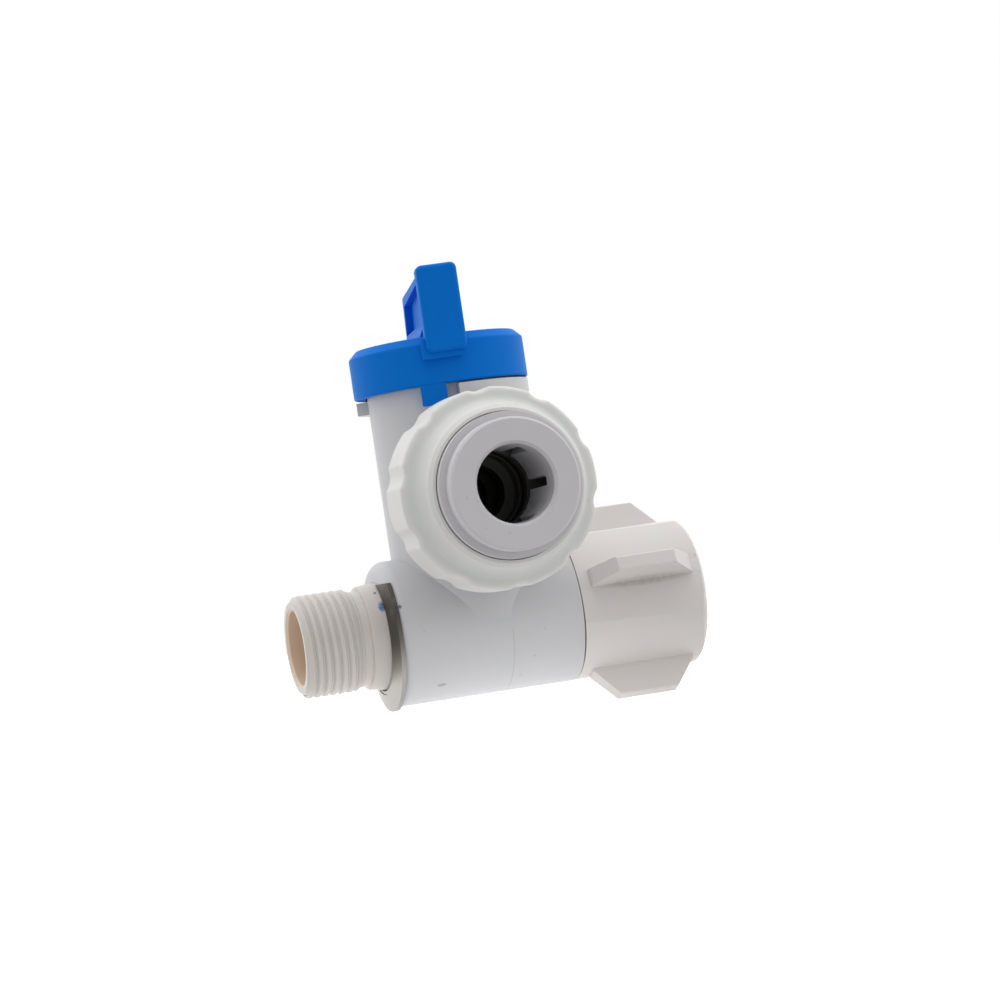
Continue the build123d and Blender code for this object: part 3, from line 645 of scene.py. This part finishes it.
def port_shade_group():
    """Painted shade in the depth of the tube port, past the collet's fingers."""
    group, given, result = new_group(
        "painted_port_shade",
        {"Colour": WHITE, "Shade colour": screen_colour(54, 53, 45), "Amount": 0.95},
        {"Colour": "NodeSocketColor"},
    )
    along, depth, height = axes(group)
    aside = math_node(group, "SUBTRACT", along, PORT_CENTRE.x)
    lifted = math_node(group, "SUBTRACT", height, PORT_CENTRE.z)
    in_bore = between(group, distance_from(group, aside, lifted), PORT_SHADE_EDGE, PORT_SHADE_FULL_RADIUS)
    in_port = between(group, depth, PORT_SHADE_BACK, PORT_SHADE_FRONT)
    tinted_by(group, given, result, math_node(group, "MULTIPLY", in_bore, in_port), "Shade colour")
    return group


def spot_group():
    """One spot on the front: a smudge, a speck, painted shade or a painted reflection, at a place along X and Z
    and with a size across both.
    """
    group, given, result = new_group(
        "spot",
        {"Colour": WHITE, "Spot colour": screen_colour(110, 108, 106), "Amount": 0.6,
         "Along": 0.0, "Height": 0.0, "Width": 0.5 * MM, "Tall": 0.5 * MM},
        {"Colour": "NodeSocketColor"},
    )
    along, depth, height = axes(group)
    aside = math_node(group, "SUBTRACT", along, given.outputs["Along"])
    above = math_node(group, "SUBTRACT", height, given.outputs["Height"])
    reach = distance_from(group, math_node(group, "DIVIDE", aside, given.outputs["Width"]),
                          math_node(group, "DIVIDE", above, given.outputs["Tall"]))
    grain = noise(group, SPOT_GRAIN, FINE_DETAIL)
    torn = math_node(group, "MULTIPLY", between(group, reach, 1.0, SPOT_CORE), grain)
    in_front = between(group, depth, 0.0, SPOT_FRONT)
    tinted_by(group, given, result, math_node(group, "MULTIPLY", torn, in_front), "Spot colour")
    return group


def spot(along, height, width, tall, colour, amount):
    """Layer with one spot, placed from the hub in millimetres."""
    return (
        SPOT,
        {"Along": HUB.x + along * MM, "Height": height * MM, "Width": width * MM, "Tall": tall * MM,
         "Spot colour": colour, "Amount": amount},
    )


def painted_reflection_group():
    """Painted dark reflection with streaks on the upper half of the clip."""
    group, given, result = new_group(
        "painted_dark_reflection",
        {"Colour": WHITE, "Reflection colour": screen_colour(80, 75, 69), "Amount": 0.9},
        {"Colour": "NodeSocketColor"},
    )
    _, _, height = axes(group)
    upper = between(group, height, REFLECTION_LOW, REFLECTION_FULL)
    streaks = between(group, noise(group, REFLECTION_GRAIN, FINE_DETAIL), REFLECTION_LIGHT, REFLECTION_DARK)
    tinted_by(group, given, result, math_node(group, "MULTIPLY", upper, streaks), "Reflection colour")
    return group


WELD = weld_line_group()
AMBER = amber_bore_group()
PORT_SHADE = port_shade_group()
PAINTED_REFLECTION = painted_reflection_group()
SPOT = spot_group()
print("placed marks", WELD.name, AMBER.name, PORT_SHADE.name, PAINTED_REFLECTION.name, SPOT.name)

# %% [markdown]
# ## Materials
# One function puts a skin, its layers of dust and marks, and a fine relief in front of a Principled shader.
# The body is a bluish polypropylene white, the nut and the nipple are creamier acetal, the collar is a little
# green, the collet is a cool grey, and the handle is a clear blue.

# %% Plastics
GRAIN_DEPTH = 0.02 * MM
LIGHT_DEPTH = 1.2 * MM


def place_group(tree, group, values):
    """Adds a group node with its own values."""
    node = tree.nodes.new("ShaderNodeGroup")
    node.node_tree = group
    for label, value in values.items():
        node.inputs[label].default_value = value
    return node


def layered(tree, colour, layers):
    """Passes a colour through groups in turn, each with its own values; returns the last colour socket."""
    for group, values in layers:
        layer = place_group(tree, group, values)
        tree.links.new(colour, layer.inputs["Colour"])
        colour = layer.outputs["Colour"]
    return colour


def skinned_material(name, skin_values, layers, bump):
    """Material with a skin, layers of marks over its colour and a fine relief; returns it and its shader."""
    material = bpy.data.materials.new(name)
    material.use_nodes = True
    tree = material.node_tree
    shader = tree.nodes["Principled BSDF"]
    skin = place_group(tree, SKIN, skin_values)
    relief = tree.nodes.new("ShaderNodeBump")
    relief.inputs["Strength"].default_value = bump
    relief.inputs["Distance"].default_value = GRAIN_DEPTH
    tree.links.new(layered(tree, skin.outputs["Colour"], layers), shader.inputs["Base Color"])
    tree.links.new(skin.outputs["Roughness"], shader.inputs["Roughness"])
    tree.links.new(skin.outputs["Height"], relief.inputs["Height"])
    tree.links.new(relief.outputs["Normal"], shader.inputs["Normal"])
    return material, shader


def moulded_plastic(
    name, colour, tint, tint_share, roughness, dust, bump=0.05, translucency=0.0, gloss=0.5, marks=()
):
    """Moulded plastic with a fine skin, a little dust and its own marks."""
    material, shader = skinned_material(
        name,
        {"Colour": colour, "Tint": tint, "Tint share": tint_share, "Roughness": roughness},
        [(DUST, {"Amount": dust}), *marks],
        bump,
    )
    shader.inputs["Specular IOR Level"].default_value = gloss
    shader.inputs["Subsurface Weight"].default_value = translucency
    shader.inputs["Subsurface Scale"].default_value = LIGHT_DEPTH
    return material


smudge_grey = screen_colour(104, 102, 102)
# Blue of a painted reflection on the nipple's collar.
painted_reflection_blue = screen_colour(36, 108, 160)
# Brown of the painted shade, with a little grime, under the nut's front wing.
shade_and_grime_brown = screen_colour(116, 105, 92)
nut_middle = (NUT_START + NUT_END) / 2
body_spots = [
    spot(along=-9.07, height=-9.19, width=1.0, tall=0.35, colour=smudge_grey, amount=0.8),
    spot(along=-14.89, height=4.14, width=0.4, tall=0.4, colour=smudge_grey, amount=1.6),
]
nipple_spots = [
    spot(along=-17.24, height=6.94, width=0.3, tall=0.3, colour=smudge_grey, amount=1.6),
    # Painted blue reflection on the nipple's collar.
    spot(along=-16.9, height=4.6, width=0.85, tall=1.1, colour=painted_reflection_blue, amount=1.7),
]
# Painted shade under the root of the nut's front wing, with a little brownish grime in it.
wing_shade_and_grime = spot(along=nut_middle, height=2.75, width=9.4, tall=1.0, colour=shade_and_grime_brown, amount=0.5)
# The body carries the weld line, painted shade in the tube port and two smudges.
body_white = moulded_plastic(
    "body_white", screen_colour(208, 208, 210), screen_colour(198, 198, 201),
    tint_share=0.5, roughness=0.45, dust=0.25, translucency=0.1, marks=[(WELD, {}), (PORT_SHADE, {}), *body_spots],
)
acetal_cream = moulded_plastic(
    "acetal_cream", screen_colour(222, 217, 214), screen_colour(215, 208, 203),
    tint_share=0.5, roughness=0.42, dust=0.15, translucency=0.12,
    marks=[(AMBER, {}), *nipple_spots, wing_shade_and_grime],
)
collar_white = moulded_plastic(
    "collar_white", screen_colour(226, 226, 223), screen_colour(214, 214, 210),
    tint_share=0.5, roughness=0.55, dust=0.25, bump=0.12, translucency=0.1,
)
collet_grey = moulded_plastic(
    "collet_grey", screen_colour(208, 206, 209), screen_colour(196, 194, 197),
    tint_share=0.4, roughness=0.55, dust=0.2, bump=0.15,
)
handle_blue = moulded_plastic(
    "handle_blue", screen_colour(8, 120, 216), screen_colour(4, 106, 206),
    tint_share=0.5, roughness=0.5, dust=0.05, translucency=0.1, gloss=0.05,
)
plug_grey = moulded_plastic(
    "plug_grey", screen_colour(64, 63, 55), screen_colour(54, 53, 47),
    tint_share=0.5, roughness=0.5, dust=0.1,
)
seal_black = moulded_plastic(
    "seal_black", screen_colour(32, 32, 30), screen_colour(40, 40, 38),
    tint_share=0.5, roughness=0.55, dust=0.1,
)

# %% [markdown]
# ## Stainless clip
# The retaining clip is stamped from stainless sheet. The same skin makes it: slow noise changes its tone and
# roughness, fine noise is its grain, and a painted dark reflection darkens the upper half. Only the shader is
# told that it is metal.

# %% Steel
def stamped_steel(name):
    """Stainless sheet with a fine grain and a painted dark reflection on its upper half."""
    material, shader = skinned_material(
        name,
        {"Colour": screen_colour(172, 170, 166), "Tint": screen_colour(146, 142, 135), "Tint share": 0.9,
         "Roughness": 0.42, "Roughness spread": 0.2, "Grain scale": 2500.0},
        [(PAINTED_REFLECTION, {})],
        bump=0.15,
    )
    shader.inputs["Metallic"].default_value = 1.0
    return material


clip_steel = stamped_steel("clip_steel")
finishes = {
    "body_white": body_white, "acetal_cream": acetal_cream, "collar_white": collar_white,
    "collet_grey": collet_grey, "handle_blue": handle_blue, "plug_grey": plug_grey,
    "seal_black": seal_black, "clip_steel": clip_steel,
}


def wear(piece, material):
    """Gives a piece one material."""
    piece.data.materials.clear()
    piece.data.materials.append(material)


for entry in frame["record"]["subparts"]:
    wear(nodes[entry["node"]], finishes[entry["material_slot"]])
wear(threaded_nipple, acetal_cream)
wear(winged_nut, acetal_cream)
wear(collar_cove, collar_white)
for node in nodes.values():
    smooth(node)
print("finishes on", len(nodes), "nodes")

# %% [markdown]
# ## Stage, light and camera
# The part is shown on a white ground, as in a light tent that is open towards the camera. There the sides,
# the back and the ground shine, and the open front is darker, so round white pieces have bright edges and a
# quiet middle. The world makes that light: its strength grows from the front to the back, and its brightest
# side lies a little to the right. Seen directly or through glass, the world and the ground are plain white,
# and so are reflections of the back. Reflections of the open front stay darker, as on the real part's face.

# %% World
VIEW_TURN = -14.9
LIGHT_LEAN = 8
LIGHT_TURN = VIEW_TURN - LIGHT_LEAN
FRONT_LIGHT = 0.43
BACK_LIGHT = 1.9
AIM = PORT_CENTRE


def white_when_seen(tree, shade, white, surface, mirrored):
    """Mixes white for the camera, glass and a share of the reflections with the shade for other light."""
    path = tree.nodes.new("ShaderNodeLightPath")
    reflected = math_node(tree, "MULTIPLY", path.outputs["Is Glossy Ray"], mirrored)
    seen = math_node(tree, "MAXIMUM", path.outputs["Is Camera Ray"], path.outputs["Is Transmission Ray"])
    seen = math_node(tree, "MAXIMUM", seen, reflected)
    mix = tree.nodes.new("ShaderNodeMixShader")
    tree.links.new(seen, mix.inputs["Fac"])
    tree.links.new(shade, mix.inputs[1])
    tree.links.new(white, mix.inputs[2])
    tree.links.new(mix.outputs["Shader"], surface)


world = bpy.data.worlds.new("light_tent")
bpy.context.scene.world = world
world.use_nodes = True
tent = world.node_tree
tent_light = tent.nodes["Background"]
tent_light.inputs["Color"].default_value = WHITE
direction = tent.nodes.new("ShaderNodeTexCoord")
towards_back = tent.nodes.new("ShaderNodeVectorMath")
towards_back.operation = "DOT_PRODUCT"
towards_back.inputs[1].default_value = (-sin(radians(LIGHT_TURN)), cos(radians(LIGHT_TURN)), 0)
tent.links.new(direction.outputs["Generated"], towards_back.inputs[0])
half = math_node(tent, "MULTIPLY", towards_back.outputs["Value"], 0.5)
share = math_node(tent, "ADD", half, 0.5)
rise = math_node(tent, "MULTIPLY", share, BACK_LIGHT - FRONT_LIGHT)
strength = math_node(tent, "ADD", rise, FRONT_LIGHT)
tent.links.new(strength, tent_light.inputs["Strength"])
tent_white = tent.nodes.new("ShaderNodeBackground")
tent_white.inputs["Color"].default_value = WHITE
white_when_seen(
    tent,
    tent_light.outputs["Background"],
    tent_white.outputs["Background"],
    tent.nodes["World Output"].inputs["Surface"],
    share,
)

# %% [markdown]
# ## Ground
# The ground is a grey light table: it glows under the part, lights it from below and fades out around it. The
# camera and the reflections see the same ground in white, with the part's shadow on it and a glow that lifts
# it to the white of the world, so that the horizon doesn't show.

# %% Floor
FLOOR_SIZE = 8.0
FLOOR_GAP = 0.2 * MM
GLOW_UNDER = 0.9
GLOW_AROUND = 0.1
GLOW_REACH = 70 * MM
SEEN_GLOW = 0.5
GROUND_ROUGHNESS = 0.9
TABLE_GREY = screen_colour(150, 150, 150)
GROUND_WHITE = screen_colour(240, 240, 240)
deselect_all()
bpy.ops.mesh.primitive_plane_add(size=FLOOR_SIZE, location=(HUB.x, 0, cad_low[2] - FLOOR_GAP))
floor = bpy.context.object
floor.name = "floor"
floor_paint = bpy.data.materials.new("floor_white")
floor_paint.use_nodes = True
ground = floor_paint.node_tree


def ground_shade(shader, colour, strength):
    """Matt ground of one colour with a glow of a given strength, a number or a socket; returns the sum."""
    shader.inputs["Base Color"].default_value = colour
    shader.inputs["Roughness"].default_value = GROUND_ROUGHNESS
    glow = ground.nodes.new("ShaderNodeEmission")
    if isinstance(strength, (int, float)):
        glow.inputs["Strength"].default_value = strength
    else:
        ground.links.new(strength, glow.inputs["Strength"])
    total = ground.nodes.new("ShaderNodeAddShader")
    ground.links.new(shader.outputs["BSDF"], total.inputs[0])
    ground.links.new(glow.outputs["Emission"], total.inputs[1])
    return total.outputs["Shader"]


along, across, _ = axes(ground)
near = between(ground, distance_from(ground, along, across), GLOW_REACH, 0.0)
patch = math_node(ground, "MULTIPLY", near, GLOW_UNDER - GLOW_AROUND)
table_glow = math_node(ground, "ADD", patch, GLOW_AROUND)
table = ground_shade(ground.nodes["Principled BSDF"], TABLE_GREY, table_glow)
lit = ground_shade(ground.nodes.new("ShaderNodeBsdfPrincipled"), GROUND_WHITE, SEEN_GLOW)
white_when_seen(ground, table, lit, ground.nodes["Material Output"].inputs["Surface"], 1.0)
wear(floor, floor_paint)

# %% [markdown]
# ## Lamp
# One soft lamp from above lifts the upper sides a little.

# %% Lamp
def soft_lamp(name, azimuth, elevation, distance, size, power):
    """Square soft lamp that looks at the part from a compass direction."""
    turn, lift = radians(azimuth), radians(elevation)
    out = Vector((sin(turn) * cos(lift), -cos(turn) * cos(lift), sin(lift)))
    data = bpy.data.lights.new(name, "AREA")
    data.size = size
    data.energy = power
    lamp = bpy.data.objects.new(name, data)
    bpy.context.scene.collection.objects.link(lamp)
    lamp.location = AIM + out * distance
    lamp.rotation_euler = out.to_track_quat("Z", "Y").to_euler()


soft_lamp("top", azimuth=0, elevation=80, distance=0.7, size=0.6, power=0.9)

# %% [markdown]
# ## Camera
# The camera stands a little below the port's axis, turned and rolled as in the photograph. The aim keeps its
# place in the picture by a shift of the lens.

# %% Camera
VIEW_LIFT = -1.79
VIEW_ROLL = 8.45
VIEW_DISTANCE = 600 * MM
LENS = 132.4
SENSOR_WIDTH = 36
NEAR_CLIP = 10 * MM
AIM_PIXEL = (457.5, 499.13)
IMAGE_SIZE = 1000
turn, lift, roll = radians(VIEW_TURN), radians(VIEW_LIFT), radians(VIEW_ROLL)
back = Vector((sin(turn) * cos(lift), -cos(turn) * cos(lift), sin(lift)))
level_right = Vector((cos(turn), sin(turn), 0))
level_up = back.cross(level_right)
right = level_right * cos(roll) - level_up * sin(roll)
up = level_right * sin(roll) + level_up * cos(roll)
camera_data = bpy.data.cameras.new("camera")
camera_data.lens = LENS
camera_data.sensor_width = SENSOR_WIDTH
camera_data.shift_x = 0.5 - AIM_PIXEL[0] / IMAGE_SIZE
camera_data.shift_y = AIM_PIXEL[1] / IMAGE_SIZE - 0.5
camera_data.clip_start = NEAR_CLIP
camera = bpy.data.objects.new("camera", camera_data)
bpy.context.scene.collection.objects.link(camera)
stance = Matrix((right, up, back)).transposed().to_4x4()
camera.matrix_world = Matrix.Translation(AIM + back * VIEW_DISTANCE) @ stance
bpy.context.scene.camera = camera
bpy.context.scene.view_settings.view_transform = "Standard"
print("camera at", tuple(camera.location))
